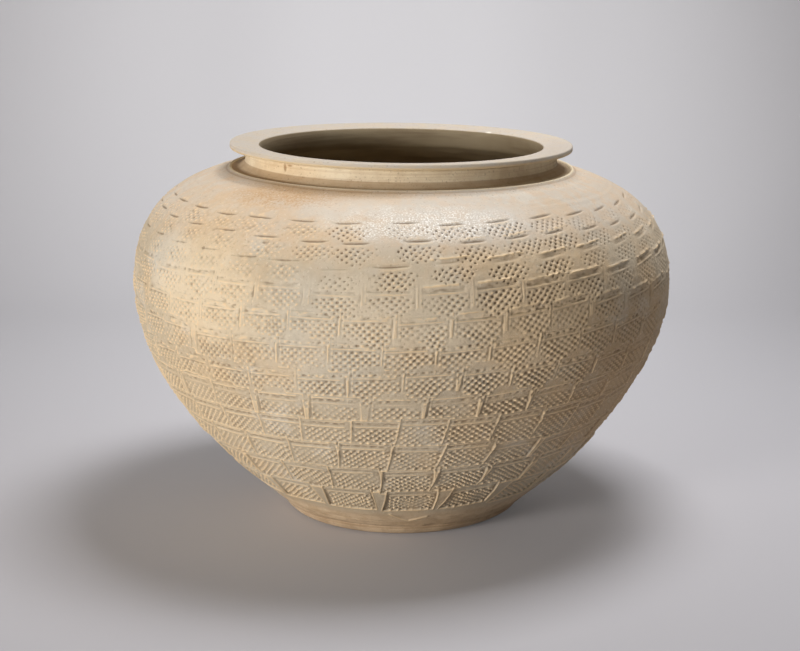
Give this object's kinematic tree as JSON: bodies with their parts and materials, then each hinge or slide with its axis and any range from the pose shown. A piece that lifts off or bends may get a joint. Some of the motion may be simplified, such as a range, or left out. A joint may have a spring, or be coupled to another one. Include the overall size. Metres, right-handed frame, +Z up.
{
  "type": "pottery storage jar",
  "caption": "Wide-bellied stoneware storage jar with a small foot, paddle-stamped wall, short turned neck and flat flanged rim.",
  "frame": {"origin": "centre of the flat underside, on the surface the jar stands on", "axes": "+Z up along the jar's turning axis; the jar is round, so +X and +Y are free, with -Y towards the viewer"},
  "size_m": [0.4316, 0.4317, 0.3003],
  "materials": {
    "foot_stoneware": "matt fired clay",
    "body_stoneware": "matt fired clay with a thin ash bloom",
    "rim_stoneware": "matt to satin fired clay"
  },
  "bodies": {
    "root": {"base_disc": "foot_stoneware", "foot_course": "body_stoneware", "lower_wall_course": "body_stoneware", "rising_wall_course": "body_stoneware", "under_belly_course": "body_stoneware", "belly_course": "body_stoneware", "upper_belly_course": "body_stoneware", "lower_shoulder_course": "body_stoneware", "shoulder_course": "body_stoneware", "neck_collar": "rim_stoneware", "rim_flange": "rim_stoneware"}
  },
  "joints": []
}
